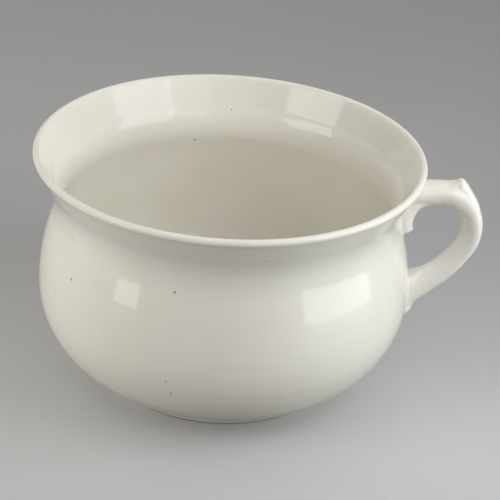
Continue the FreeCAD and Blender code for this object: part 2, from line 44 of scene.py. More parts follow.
# bowl, outside
TOP = 144.8
RIM = 115.0
NECK = 102.2
NECK_Z = 111.0
NECK_CURVE = 32.0
BELLY = 111.4
BELLY_Z = 59.7
SEAT_Z = 5.2
LOWER_CURVE = 57.5
LIP = 2.3
LIP_HOLLOW = 1.5
BAND_WALL = 4.0
# bowl, inside
CREASE = (102.4, 127.5)
IN_NECK = 97.2
IN_NECK_Z = 113.0
IN_BELLY = 106.8
FLOOR_Z = 9.7
# foot ring
FOOT_OUT = 72.1
FOOT_WIDTH = 9.5
FOOT_TAPER = 0.9
FOOT_ROUND = 1.4
SLIP_LEG = 2.0

# how closely the outlines are followed, and the softening of their corners by the glaze
OUTLINE_STEP = 1.0
FOOT_STEP = 0.4
SLIP_STEP = 0.3
FINE_STEP = 0.1
CORNER_SOFTENING = 1.2
TURN_SEGMENTS = 320
# how far the foot ring and the slip reach into what they are luted to
FOOT_SUNK = 0.3
SLIP_SUNK = 0.2
# depths of the turning lines at each of their lengths, and how far from an outline's ends they fade
TURNING_LINES = ((21.0, 0.022), (11.0, 0.014), (6.3, 0.009), (3.7, 0.005))
TURNING_FADE = 15.0
TURNING_SEED = 11
# the kiln's warp as waves round the pot, each (how many, size, phase): shares of the radius, and millimetres
# of height
WARP_RADIUS = ((2, 0.0016, 0.6), (3, 0.0008, 2.1))
WARP_HEIGHT = ((2, 0.22, 1.3), (3, 0.12, -0.4))


def arc(x, z, radius, start, end, step=0.25):
    """Points of an arc in the outline plane, from one angle to another, in radians."""
    count = max(int(abs(end - start) * radius / step), 4)
    turn = np.linspace(start, end, count + 1)
    return np.column_stack([x + radius * np.cos(turn), z + radius * np.sin(turn)])


def resampled(points, step):
    """The same path with evenly spaced points."""
    gone = np.concatenate([[0], np.cumsum(np.hypot(*np.diff(points, axis=0).T))])
    count = max(int(round(gone[-1] / step)), 2)
    along = np.linspace(0, gone[-1], count + 1)
    return np.column_stack([np.interp(along, gone, points[:, k]) for k in (0, 1)])


def softened(points, reach):
    """The path with its corners rounded off over about this reach. The ends stay."""
    fine = resampled(points, FINE_STEP)
    half = int(reach / FINE_STEP)
    window = np.hanning(2 * half + 3)[1:-1]
    window /= window.sum()
    out = fine.copy()
    for k in (0, 1):
        padded = np.concatenate([2 * fine[0, k] - fine[half:0:-1, k], fine[:, k],
                                 2 * fine[-1, k] - fine[-2:-half - 2:-1, k]])
        out[:, k] = np.convolve(padded, window, "valid")
    return out


def outer_outline():
    """Outside of the bowl from the middle of the base to the rolled lip, as radius and height."""
    lower_x = BELLY - LOWER_CURVE
    seat_angle = -math.asin((BELLY_Z - SEAT_Z) / LOWER_CURVE)
    both = ((NECK_Z - BELLY_Z) ** 2 + (BELLY - NECK) ** 2) / (2 * (BELLY - NECK))
    upper_curve = both - NECK_CURVE
    upper_angle = math.asin((NECK_Z - BELLY_Z) / both)
    hollow_x = NECK + NECK_CURVE
    lip_x = RIM - LIP
    lip_z = TOP - LIP
    flare_off = BAND_WALL - LIP
    dx = hollow_x - lip_x
    dz = lip_z - NECK_Z
    flare = math.atan2(dz, dx) - math.acos((NECK_CURVE + flare_off) / math.hypot(dx, dz))
    across = flare_off + LIP_HOLLOW
    along = math.sqrt((LIP + LIP_HOLLOW) ** 2 - across ** 2)
    under_x = lip_x + across * math.cos(flare) - along * math.sin(flare)
    under_z = lip_z - across * math.sin(flare) - along * math.cos(flare)
    under_angle = math.atan2(under_z - lip_z, under_x - lip_x)
    return np.vstack([
        [[0, SEAT_Z]],
        arc(lower_x, BELLY_Z, LOWER_CURVE, seat_angle, 0),
        arc(BELLY - upper_curve, BELLY_Z, upper_curve, 0, upper_angle),
        arc(hollow_x, NECK_Z, NECK_CURVE, math.pi + upper_angle, math.pi - flare),
        arc(under_x, under_z, LIP_HOLLOW, math.pi - flare, math.pi + under_angle),
        arc(lip_x, lip_z, LIP, under_angle, math.pi / 2),
    ])


def inner_outline():
    """Inside of the bowl from the rolled lip over the crease to the middle of the floor."""
    lip_x = RIM - LIP
    lip_z = TOP - LIP
    dx = lip_x - CREASE[0]
    dz = lip_z - CREASE[1]
    band = math.acos(LIP / math.hypot(dx, dz)) - math.atan2(dz, dx)
    step = CREASE[0] - IN_NECK
    lift = CREASE[1] - IN_NECK_Z
    neck_curve = (lift ** 2 + step ** 2) / (2 * step)
    crease_angle = math.pi - math.asin(lift / neck_curve)
    both = ((IN_NECK_Z - BELLY_Z) ** 2 + (IN_BELLY - IN_NECK) ** 2) / (2 * (IN_BELLY - IN_NECK))
    upper_angle = math.asin((IN_NECK_Z - BELLY_Z) / both)
    upper_curve = both - neck_curve
    lower_curve = BELLY_Z - FLOOR_Z
    return np.vstack([
        arc(lip_x, lip_z, LIP, math.pi / 2, math.pi - band),
        [CREASE],
        arc(IN_NECK + neck_curve, IN_NECK_Z, neck_curve, crease_angle, math.pi + upper_angle),
        arc(IN_BELLY - upper_curve, BELLY_Z, upper_curve, upper_angle, 0),
        arc(IN_BELLY - lower_curve, BELLY_Z, lower_curve, 0, -math.pi / 2),
        [[0, FLOOR_Z]],
    ])


def foot_outline():
    """The foot ring's closed outline, from the middle of its luted top and round."""
    inner = FOOT_OUT - FOOT_WIDTH
    slope = math.atan2(FOOT_TAPER, SEAT_Z)
    reach = FOOT_ROUND * math.tan((math.pi / 2 - slope) / 2)
    out_x = FOOT_OUT - FOOT_TAPER - reach
    in_x = inner + FOOT_TAPER + reach
    top = SEAT_Z + FOOT_SUNK
    return np.vstack([
        [[(inner + FOOT_OUT) / 2, top], [FOOT_OUT, top], [FOOT_OUT, SEAT_Z]],
        arc(out_x, FOOT_ROUND, FOOT_ROUND, -slope, -math.pi / 2),
        arc(in_x, FOOT_ROUND, FOOT_ROUND, -math.pi / 2, -math.pi + slope),
        [[inner, SEAT_Z], [inner, top], [(inner + FOOT_OUT) / 2, top]],
    ])


def slip_outline():
    """The hollow slip fillet in the corner between the base and the foot ring's inner side."""
    inner = FOOT_OUT - FOOT_WIDTH
    low = SEAT_Z - SLIP_LEG
    top = SEAT_Z + SLIP_SUNK
    back = inner + FOOT_SUNK
    return np.vstack([
        arc(inner - SLIP_LEG, low, SLIP_LEG, 0, math.pi / 2),
        [[inner - SLIP_LEG, top], [back, top], [back, low], [inner, low]],
    ])


def waves(phi, terms):
    """The sum of these waves at an angle round the pot."""
    return sum(size * np.cos(count * phi + phase) for count, size, phase in terms)


def warped(points):
    """The pot left the kiln a little out of round: a slow change of radius and a wave along the rim."""
    x, y, z = points.T
    phi = np.arctan2(y, x)
    high = np.clip(z / TOP, 0, 1) ** 2
    grow = 1 + high * waves(phi, WARP_RADIUS)
    return np.column_stack([x * grow, y * grow, z + high * waves(phi, WARP_HEIGHT)])


def made(name, points, faces):
    """A smooth-shaded mesh piece from millimetre points."""
    mesh = bpy.data.meshes.new(name)
    mesh.from_pydata((points * MM).tolist(), [], faces)
    mesh.validate()
    mesh.polygons.foreach_set("use_smooth", np.ones(len(mesh.polygons), dtype=bool))
    mesh.update()
    piece = bpy.data.objects.new(name, mesh)
    bpy.context.scene.collection.objects.link(piece)
    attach(piece, "root")
    return piece


def turned(name, outline, closed=False, poles=False):
    """A ring or vessel turned about the vertical axis from an outline of radii and heights."""
    body = outline[1:-1] if poles else outline
    if closed:
        body = body[:-1]
    count = len(body)
    turn = 2 * math.pi * np.arange(TURN_SEGMENTS) / TURN_SEGMENTS
    points = np.empty((TURN_SEGMENTS, count, 3))
    points[..., 0] = body[:, 0] * np.cos(turn)[:, None]
    points[..., 1] = body[:, 0] * np.sin(turn)[:, None]
    points[..., 2] = body[:, 1]
    points = points.reshape(-1, 3)
    faces = []
    rungs = count if closed else count - 1
    for k in range(TURN_SEGMENTS):
        here = k * count
        there = (k + 1) % TURN_SEGMENTS * count
        for j in range(rungs):
            up = (j + 1) % count
            faces.append((here + j, there + j, there + up, here + up))
    if poles:
        first = len(points)
        points = np.vstack([points, [0, 0, outline[0, 1]], [0, 0, outline[-1, 1]]])
        for k in range(TURN_SEGMENTS):
            here = k * count
            there = (k + 1) % TURN_SEGMENTS * count
            faces.append((first, there, here))
            faces.append((first + 1, here + count - 1, there + count - 1))
    return made(name, warped(points), faces)


def with_turning_lines(outline):
    """The outline with the faint, uneven rings that the turning tool leaves."""
    gone = np.concatenate([[0], np.cumsum(np.hypot(*np.diff(outline, axis=0).T))])
    along = np.gradient(outline, axis=0)
    along /= np.maximum(np.hypot(*along.T), 1e-9)[:, None]
    outward = np.column_stack([along[:, 1], -along[:, 0]])
    rng = np.random.default_rng(TURNING_SEED)
    wave = np.zeros(len(outline))
    for length, depth in TURNING_LINES:
        wave += depth * np.sin(2 * math.pi * gone / length + rng.uniform(0, 6.28))
    ends = np.clip(np.minimum(gone, gone[-1] - gone) / TURNING_FADE, 0, 1)
    return outline + outward * (wave * ends)[:, None]


# strap handle: its middle line is runs of (length, radius, degrees), each a straight or an arc
HANDLE_Z = 120.5
HANDLE_RISE = math.radians(3.0)
STRAP_RUNS = ((28.0, 0, 0), (0, 20.0, 61.3), (0, 25.1, 60.9), (0, 68.0, 23.8), (26.0, 0, 0))
STRAP_LEAD = 5.0
SPINE_STEP = 0.5
SPINE_BATCH = 20000
# half the strap's thickness and width at shares of its length
SHARES = (0.0, 0.2, 0.42, 0.62, 0.82, 1.0)
HALF_THICK = (6.7, 6.8, 6.5, 6.0, 6.9, 8.5)
HALF_WIDE = (11.2, 9.4, 9.2, 9.2, 9.8, 11.4)
SECTION_POWER = 2.2
# the section is widest this far to the outer side of its middle
EGG_SHIFT = 1.4

# side view of the thumb spur: a scooped front, a blunt crown and a straight back down the strap
SPUR = ((129.5, 123.5), (130.8, 127.4), (132.6, 128.4), (134.6, 129.8), (136.2, 131.1), (137.8, 131.6),
        (139.5, 130.3), (143.2, 125.5), (147.0, 119.2), (149.8, 112.5), (143.0, 110.0), (136.0, 116.0))
# half the spur's width from its crown down
SPUR_LEVELS = (112.0, 118.0, 123.0, 126.5, 129.0, 131.0, 132.2)
SPUR_HALF = (7.6, 7.8, 7.6, 6.4, 5.0, 3.6, 1.8)
SPUR_ROUND = 3.4
SPUR_SOFTNESS = 3.0
# the small scroll eye pressed into each side of the spur
EYE_AT = (135.0, 128.6)
EYE_RADIUS = 1.0
EYE_SPREAD = 5.9
EYE_SOFTNESS = 0.8

# the upper terminal: a crook under the strap, a face down the neck, a small nib and a slanted end
CROOK = (121.1, 104.6, 10.5)
TONGUE_FACE = ((110.5, 103.0), (110.5, 101.1), (111.3, 99.8), (110.5, 98.9), (109.7, 97.1), (108.4, 95.9),
               (106.2, 94.9), (103.0, 94.0), (96.0, 93.3), (96.0, 120.5), (121.1, 120.5))
TONGUE_LEVELS = (93.3, 94.6, 96.6, 99.6, 103.4, 110.0, 116.0, 121.0)
TONGUE_HALF = (2.0, 5.5, 8.2, 9.9, 10.6, 10.4, 9.4, 7.0)
# the lower terminal: the strap's end thins to a leaf that dies out on the belly
LEAF = ((96.0, 68.0), (106.0, 66.0), (112.0, 66.6), (117.0, 69.0), (122.0, 72.0), (126.0, 74.6),
        (124.0, 66.0), (118.0, 56.0), (116.0, 49.5), (115.6, 46.6), (113.5, 43.9), (110.1, 41.2),
        (107.9, 39.4), (106.6, 38.5), (104.0, 37.9), (96.0, 37.3))
LEAF_LEVELS = (37.5, 38.7, 40.6, 43.4, 46.2, 50.0, 55.0, 60.0, 74.0)
LEAF_HALF = (2.0, 5.6, 9.2, 11.4, 12.0, 11.4, 10.4, 9.8, 7.5)
# the terminals narrow away from the wall, so that they stay within the strap where they leave it
TERMINAL_SPANS = (106.0, 111.0, 114.5, 120.0, 127.0)
TERMINAL_SHARES = (1.0, 0.96, 0.80, 0.32, 0.2)
# how rounded each terminal's edges are, and the fillet between it and the strap
TONGUE_ROUND = 6.0
TONGUE_JOIN = 3.6
LEAF_ROUND = 3.6
LEAF_JOIN = 2.6
# the slip seams, and how far the handle and the seams reach into what they are luted to
SEAM_SOFTNESS = 2.2
SEAM_THIN = 0.07
SUNK = 0.6
# cell sizes and the lowest and highest corners of the boxes that the blended forms are made in
CELL = 0.5
SEAM_CELL = 0.28
HANDLE_BOX = ((96, -16, 24), (158, 16, 137))
UPPER_SEAM_BOX = ((99, -15, 86), (116, 15, 132))
LOWER_SEAM_BOX = ((99, -16, 27), (116, 16, 70))
# points at the top of the lip that the outline's rising part leaves out
LIP_TOP_POINTS = 20
# how often a surface's points are pushed onto it, how far to each side the field is read for its slope, and
# the least square of a slope that counts
PUSHES = 2
PROBE = 0.05
LEAST_SLOPE = 0.25
# how often a polygon's corners are cut
CORNER_CUTS = 3


def strap_spine():
    """Points, directions and distances along the strap's middle line in the XZ plane."""
    angle = HANDLE_RISE
    x = NECK - STRAP_LEAD
    z = HANDLE_Z - STRAP_LEAD * math.tan(angle)
    rows = [(x, z, angle)]
    for length, radius, degrees in STRAP_RUNS:
        turn = math.radians(degrees)
        length = length or radius * turn
        steps = int(math.ceil(length / SPINE_STEP))
        for k in range(steps):
            bend = turn / steps
            angle -= bend / 2
            x += length / steps * math.cos(angle)
            z += length / steps * math.sin(angle)
            angle -= bend / 2
            rows.append((x, z, angle))
    rows = np.array(rows)
    gone = np.concatenate([[0], np.cumsum(np.hypot(*np.diff(rows[:, :2], axis=0).T))])
    return rows[:, :2], rows[:, 2], gone


SPINE, SPINE_ANGLE, SPINE_GONE = strap_spine()
OUTSIDE = outer_outline()


def in_plane(measure):
    """Lets a measure of (x, z) take a whole grid, worked out once for all its levels of y."""
    def measured(x, z, *more):
        if x.ndim < 3:
            return measure(x, z, *more)
        flat = measure(x[:, 0, :], z[:, 0, :], *more)
        if isinstance(flat, tuple):
            return tuple(part[:, None, :] for part in flat)
        return flat[:, None, :]
    return measured


@in_plane
def spine_place(x, z):
    """Distance along the strap, height off its middle line, and overshoot past its ends."""
    nearest = np.empty(x.shape, dtype=int)
    flat_x, flat_z = x.ravel(), z.ravel()
    flat = nearest.ravel()
    for start in range(0, flat.size, SPINE_BATCH):
        part = slice(start, start + SPINE_BATCH)
        away = (flat_x[part, None] - SPINE[:, 0]) ** 2 + (flat_z[part, None] - SPINE[:, 1]) ** 2
        flat[part] = away.argmin(axis=1)
    nearest = flat.reshape(x.shape)
    dx = x - SPINE[nearest, 0]
    dz = z - SPINE[nearest, 1]
    angle = SPINE_ANGLE[nearest]
    ahead = dx * np.cos(angle) + dz * np.sin(angle)
    height = -dx * np.sin(angle) + dz * np.cos(angle)
    along = SPINE_GONE[nearest] + ahead
    over = np.maximum(np.maximum(-along, along - SPINE_GONE[-1]), 0)
    return np.clip(along, 0, SPINE_GONE[-1]), height, over


def blend_union(a, b, reach):
    """Union of two distance fields with a fillet of about this reach."""
    h = np.maximum(reach - np.abs(a - b), 0) / reach
    return np.minimum(a, b) - h * h * reach / 4


def blend_cut(a, b, reach):
    """The part of both fields, with a rounded edge."""
    return -blend_union(-a, -b, reach)


@in_plane
def polygon_distance(x, z, corners):
    """Signed distance to a polygon in the XZ plane, negative inside."""
    corners = np.array(corners)
    best = np.full(x.shape, 1e9)
    inside = np.zeros(x.shape, dtype=bool)
    for (ax, az), (bx, bz) in zip(corners, np.roll(corners, -1, axis=0)):
        ex, ez = bx - ax, bz - az
        t = np.clip(((x - ax) * ex + (z - az) * ez) / (ex * ex + ez * ez), 0, 1)
        best = np.minimum(best, np.hypot(x - ax - t * ex, z - az - t * ez))
        crosses = (az > z) != (bz > z)
        with np.errstate(divide="ignore", invalid="ignore"):
            inside ^= crosses & (x < ax + (z - az) * ex / ez)
    return np.where(inside, -best, best)


def rounded(corners):
    """The polygon with its corners cut smooth."""
    corners = np.array(corners)
    for step in range(CORNER_CUTS):
        after = np.roll(corners, -1, axis=0)
        corners = np.stack([0.75 * corners + 0.25 * after, 0.25 * corners + 0.75 * after], axis=1)
        corners = corners.reshape(-1, 2)
    return corners


TONGUE_SIDE = np.vstack([arc(*CROOK, math.pi / 2, math.pi, step=0.8), TONGUE_FACE])
SPUR_SIDE = rounded(SPUR)
LEAF_SIDE = rounded(LEAF)


def slab(x, y, z, corners, wide, edge):
    """A form with this side view and this half width, with rounded edges."""
    return blend_cut(polygon_distance(x, z, corners), np.abs(y) - wide, edge)


def bowl_field(x, y, z):
    """Signed distance to the bowl's outside, good enough near it."""
    radii, heights = OUTSIDE[1:-LIP_TOP_POINTS].T
    # over a millimetre of height
    slope = np.interp(z + 0.5, heights, radii) - np.interp(z - 0.5, heights, radii)
    return (np.hypot(x, y) - np.interp(z, heights, radii)) / np.sqrt(1 + slope ** 2)


def handle_field(x, y, z):
    """Signed distance to the strap with its spur and both terminals, before it meets the bowl."""
    along, height, over = spine_place(x, z)
    share = along / SPINE_GONE[-1]
    thick = np.interp(share, SHARES, HALF_THICK)
    wide = np.interp(share, SHARES, HALF_WIDE)
    shifted = height - EGG_SHIFT * (1 - np.clip(height / thick, -1, 1) ** 2)
    ring = (np.abs(shifted) / thick) ** SECTION_POWER + (np.abs(y) / wide) ** SECTION_POWER
    ring = np.maximum(ring ** (1 / SECTION_POWER), 1e-3)
    strap = np.hypot(shifted, y) * (1 - 1 / ring)
    strap = np.where(over > 0, np.hypot(np.maximum(strap, 0), over), strap)
    spur = slab(x, y, z, SPUR_SIDE, np.interp(z, SPUR_LEVELS, SPUR_HALF), SPUR_ROUND)
    whole = blend_union(strap, spur, SPUR_SOFTNESS)
    eye = np.sqrt((x - EYE_AT[0]) ** 2 + (z - EYE_AT[1]) ** 2 + (np.abs(y) - EYE_SPREAD) ** 2)
    whole = blend_cut(whole, EYE_RADIUS - eye, EYE_SOFTNESS)
    narrow = np.interp(x, TERMINAL_SPANS, TERMINAL_SHARES)
    for corners, levels, halves, edge, join in (
            (TONGUE_SIDE, TONGUE_LEVELS, TONGUE_HALF, TONGUE_ROUND, TONGUE_JOIN),
            (LEAF_SIDE, LEAF_LEVELS, LEAF_HALF, LEAF_ROUND, LEAF_JOIN)):
        form = slab(x, y, z, corners, narrow * np.interp(z, levels, halves), edge)
        whole = blend_union(whole, form, join)
    return whole


def handle_solid(x, y, z):
    """The handle, cut off a little inside the bowl's wall."""
    return np.maximum(handle_field(x, y, z), -bowl_field(x, y, z) - SUNK)


def seam_solid(x, y, z):
    """The slip that fills the corner between handle and bowl, wiped to a thin hollow fillet."""
    handle = handle_field(x, y, z)
    bowl = bowl_field(x, y, z)
    fillet = blend_union(handle, bowl, SEAM_SOFTNESS) + SEAM_THIN
    shell = np.maximum(-bowl - SUNK, -handle - SUNK)
    return np.maximum(np.maximum(fillet, shell), handle - SEAM_SOFTNESS)


def surface_net(field, low, high, cell):
    """Points and quads of a field's zero surface, inside where it is negative."""
    axes = [np.arange(a, b + cell, cell) for a, b in zip(low, high)]
    grid = np.meshgrid(*axes, indexing="ij")
    values = field(*grid)
    shape = np.array(values.shape)
    inside = values < 0
    corners = [(i, j, k) for i in (0, 1) for j in (0, 1) for k in (0, 1)]
    cut = [inside[i:shape[0] - 1 + i, j:shape[1] - 1 + j, k:shape[2] - 1 + k] for i, j, k in corners]
    count = sum(c.astype(int) for c in cut)
    active = (count > 0) & (count < 8)
    cells = np.argwhere(active)
    index = np.full(active.shape, -1)
    index[active] = np.arange(len(cells))
    total = np.zeros((len(cells), 3))
    crossings = np.zeros(len(cells))
    for a in corners:
        for axis in range(3):
            if a[axis]:
                continue
            b = tuple(1 if m == axis else a[m] for m in range(3))
            va = values[tuple((cells + a).T)]
            vb = values[tuple((cells + b).T)]
            crosses = (va < 0) != (vb < 0)
            with np.errstate(divide="ignore", invalid="ignore"):
                t = np.where(crosses, va / (va - vb), 0)
            spot = np.array(a) + t[:, None] * (np.array(b) - np.array(a))
            total += spot * crosses[:, None]
            crossings += crosses
    points = np.array(low) + (cells + total / crossings[:, None]) * cell
    for step in range(PUSHES):
        here = field(*points.T)
        slope = np.column_stack([
            (field(*(points + d).T) - field(*(points - d).T)) / (2 * PROBE)
            for d in np.eye(3) * PROBE])
        push = here[:, None] * slope / np.maximum((slope ** 2).sum(axis=1), LEAST_SLOPE)[:, None]
        points -= np.clip(push, -cell / 2, cell / 2)
    quads = []
    for axis in range(3):
        other = [m for m in range(3) if m != axis]
        first = [slice(None)] * 3
        second = [slice(None)] * 3
        first[axis] = slice(0, -1)
        second[axis] = slice(1, None)
        begins = inside[tuple(first)]
        ends = inside[tuple(second)]
        edges = np.argwhere(begins != ends)
        ok = np.all((edges[:, other] > 0) & (edges[:, other] < shape[other] - 1), axis=1)
        edges = edges[ok]
        ring = []
        for du, dv in ((0, 0), (1, 0), (1, 1), (0, 1)):
            at = edges.copy()
            at[:, other[0]] -= du
            at[:, other[1]] -= dv
            ring.append(index[tuple(at.T)])
        quad = np.column_stack(ring)
        flip = begins[tuple(edges.T)] ^ (axis == 1)
        quad[~flip] = quad[~flip][:, ::-1]
        quads.append(quad)
    return points, np.vstack(quads)


def moulded(name, field, box, cell):
    """A piece made from a field's zero surface inside a box."""
    points, quads = surface_net(field, *box, cell)
    return made(name, warped(points), quads.tolist())


bowl_line = np.vstack([outer_outline()[:-1], inner_outline()])
bowl_line = resampled(softened(bowl_line, CORNER_SOFTENING), OUTLINE_STEP)
bowl = turned("bowl_glazed", with_turning_lines(bowl_line), poles=True)
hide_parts("bowl")
foot = turned("foot_ring_glazed", resampled(foot_outline(), FOOT_STEP), closed=True)
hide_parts("foot_ring")
slip = turned("foot_slip_glazed", resampled(slip_outline(), SLIP_STEP), closed=True)
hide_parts("foot_slip")
handle = moulded("handle_glazed", handle_solid, HANDLE_BOX, CELL)
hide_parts("handle")
upper_seam = moulded("upper_seam_glazed", seam_solid, UPPER_SEAM_BOX, SEAM_CELL)
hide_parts("upper_seam")
lower_seam = moulded("lower_seam_glazed", seam_solid, LOWER_SEAM_BOX, SEAM_CELL)
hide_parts("lower_seam")


class Nodes:
    """Short hand for a material's node tree."""

    def __init__(self, name):
        self.material = bpy.data.materials.new(name)
        self.material.use_nodes = True
        self.tree = self.material.node_tree
        self.shader = self.tree.nodes["Principled BSDF"]
        self.place = self.add("ShaderNodeTexCoord").outputs["Object"]

    def add(self, kind, **settings):
        node = self.tree.nodes.new(kind)
        for key, value in settings.items():
            setattr(node, key, value)
        return node

    def link(self, source, target):
        self.tree.links.new(source, target)

    def noise(self, scale, detail):
        node = self.add("ShaderNodeTexNoise")
        node.inputs["Scale"].default_value = scale
        node.inputs["Detail"].default_value = detail
        self.link(self.place, node.inputs["Vector"])
        return node.outputs["Fac"]

    def ranged(self, source, low, high, to_low, to_high):
        node = self.add("ShaderNodeMapRange")
        for key, value in (("From Min", low), ("From Max", high), ("To Min", to_low), ("To Max", to_high)):
            node.inputs[key].default_value = value
        self.link(source, node.inputs["Value"])
        return node.outputs["Result"]

    def mixed(self, factor, first, second):
        node = self.add("ShaderNodeMix", data_type="RGBA")
        self.link(factor, node.inputs["Factor"])
        for key, value in (("A", first), ("B", second)):
            socket = [s for s in node.inputs if s.name == key and s.type == "RGBA"][0]
            if isinstance(value, tuple):
                socket.default_value = (*value, 1)
            else:
                self.link(value, socket)
        return [s for s in node.outputs if s.type == "RGBA"][0]

    def math(self, operation, first, second):
        node = self.add("ShaderNodeMath", operation=operation)
        for socket, value in zip(node.inputs, (first, second)):
            if isinstance(value, (int, float)):
                socket.default_value = value
            else:
                self.link(value, socket)
        return node.outputs["Value"]


# colours of the glaze where it lies thin and where it pools, of the same on the handle (made lighter there
# as painted light, standing in for light the handle lacks) and on the slip, of the iron in the specks and of
# the bare clay
WHITE = (0.81, 0.785, 0.712)
POOLED = (0.775, 0.745, 0.66)
HANDLE_PAINTED_LIGHT_WHITE = (0.845, 0.822, 0.764)
HANDLE_PAINTED_LIGHT_POOLED = (0.81, 0.78, 0.71)
SLIP_WHITE = (0.77, 0.74, 0.67)
IRON = (0.20, 0.14, 0.08)
CLAY = (0.55, 0.44, 0.30)
# spacing, radius, share and seed of the small specks and of the pinholes
SPECKS = (0.010, 0.00055, 0.16, 0.0)
PINHOLES = (0.011, 0.00045, 0.10, 3.0)
SPECK_STRENGTH = 0.75
SPOT_STRENGTH = 0.85
# a speck is fully dark within this share of its radius
SPECK_CORE = 0.6
# scale and detail of each noise: where the glaze pools, its gloss, the foot's bare edge, its slow waves
POOL_NOISE = (18, 4)
GLOSS_NOISE = (260, 2)
BARE_NOISE = (90, 3)
WAVE_NOISE = (55, 3)
# roughness of the gloss, what the bare clay adds to it, and the index of the glaze
GLOSS = (0.05, 0.09)
CLAY_ROUGH = 0.7
GLAZE_IOR = 1.55
# the foot's bare edge ends at this height, give or take the raggedness, over the fade
BARE_TO = 0.0012
BARE_RAGGED = 0.0006
BARE_FADE = 0.0004
# depths of the glaze's slow waves and of the pinholes, and the strength of both
WAVE_DEPTH = 0.00010
PINHOLE_DEPTH = 0.00015
RELIEF = 0.6
# the larger iron spots: place and radius
IRON_SPOTS = ((-0.0886, -0.0615, 0.0883, 0.0009), (-0.0305, -0.0985, 0.1034, 0.0009),
              (-0.0335, -0.1054, 0.0504, 0.0007), (-0.0304, -0.1042, 0.0417, 0.0008),
              (-0.0197, 0.0964, 0.1057, 0.0010), (0.0031, 0.1011, 0.1257, 0.0006),
              (0.0177, -0.1059, 0.1288, 0.0006))


def specks(nodes, spacing, size, share, seed):
    """Rare round specks: 1 inside one, 0 outside. Spacing and size (the radius) are metres."""
    cells = nodes.add("ShaderNodeTexVoronoi")
    cells.inputs["Scale"].default_value = 1 / spacing
    shift = nodes.add("ShaderNodeVectorMath", operation="ADD")
    shift.inputs[1].default_value = (seed, seed * 0.7, seed * 0.3)
    nodes.link(nodes.place, shift.inputs[0])
    nodes.link(shift.outputs["Vector"], cells.inputs["Vector"])
    near = nodes.ranged(cells.outputs["Distance"], size / spacing, SPECK_CORE * size / spacing, 0, 1)
    pick = nodes.add("ShaderNodeSeparateColor")
    nodes.link(cells.outputs["Color"], pick.inputs["Color"])
    chosen = nodes.math("LESS_THAN", pick.outputs["Red"], share)
    return nodes.math("MULTIPLY", near, chosen)


def glaze(name, base, pooled, bare_edge=False, spots=()):
    """Clear lead glaze over a cream-white body: slightly uneven colour, iron specks and pinholes."""
    nodes = Nodes(name)
    colour = nodes.mixed(nodes.ranged(nodes.noise(*POOL_NOISE), 0.35, 0.7, 0, 1), base, pooled)
    dark = specks(nodes, *SPECKS)
    colour = nodes.mixed(nodes.math("MULTIPLY", dark, SPECK_STRENGTH), colour, IRON)
    for x, y, z, radius in spots:
        away = nodes.add("ShaderNodeVectorMath", operation="DISTANCE")
        nodes.link(nodes.place, away.inputs[0])
        away.inputs[1].default_value = (x, y, z)
        spot = nodes.ranged(away.outputs["Value"], radius, radius / 2, 0, SPOT_STRENGTH)
        colour = nodes.mixed(spot, colour, IRON)
    rough = nodes.ranged(nodes.noise(*GLOSS_NOISE), 0.3, 0.7, *GLOSS)
    if bare_edge:
        place = nodes.add("ShaderNodeSeparateXYZ")
        nodes.link(nodes.place, place.inputs["Vector"])
        ragged = nodes.ranged(nodes.noise(*BARE_NOISE), 0, 1, -BARE_RAGGED, BARE_RAGGED)
        ragged = nodes.math("ADD", place.outputs["Z"], ragged)
        bare = nodes.ranged(ragged, BARE_TO, BARE_TO - BARE_FADE, 0, 1)
        colour = nodes.mixed(bare, colour, CLAY)
        rough = nodes.math("ADD", rough, nodes.math("MULTIPLY", bare, CLAY_ROUGH))
    nodes.link(colour, nodes.shader.inputs["Base Color"])
    nodes.link(rough, nodes.shader.inputs["Roughness"])
    nodes.shader.inputs["IOR"].default_value = GLAZE_IOR
    height = nodes.math("MULTIPLY", nodes.noise(*WAVE_NOISE), WAVE_DEPTH)
    pits = nodes.math("MULTIPLY", specks(nodes, *PINHOLES), PINHOLE_DEPTH)
    height = nodes.math("SUBTRACT", height, pits)
    bump = nodes.add("ShaderNodeBump")
    bump.inputs["Distance"].default_value = 1.0
    bump.inputs["Strength"].default_value = RELIEF
    nodes.link(height, bump.inputs["Height"])
    nodes.link(bump.outputs["Normal"], nodes.shader.inputs["Normal"])
    return nodes.material


body_glaze = glaze("pot_glaze", WHITE, POOLED, spots=IRON_SPOTS)
# painted light: the handle's glaze is a lighter copy of the bowl's, standing in for light that the handle
# lacks
handle_painted_light_glaze = glaze("pot_handle_painted_light_glaze", HANDLE_PAINTED_LIGHT_WHITE, HANDLE_PAINTED_LIGHT_POOLED)
foot_glaze = glaze("pot_foot_glaze", WHITE, POOLED, bare_edge=True)
slip_glaze = glaze("pot_slip_glaze", SLIP_WHITE, POOLED)
for piece, material, slot in (
        (bowl, body_glaze, "glaze"), (handle, handle_painted_light_glaze, "glaze"), (foot, foot_glaze, "foot_glaze"),
        (slip, slip_glaze, "slip"), (upper_seam, slip_glaze, "slip"), (lower_seam, slip_glaze, "slip")):
    piece.data.materials.append(material)

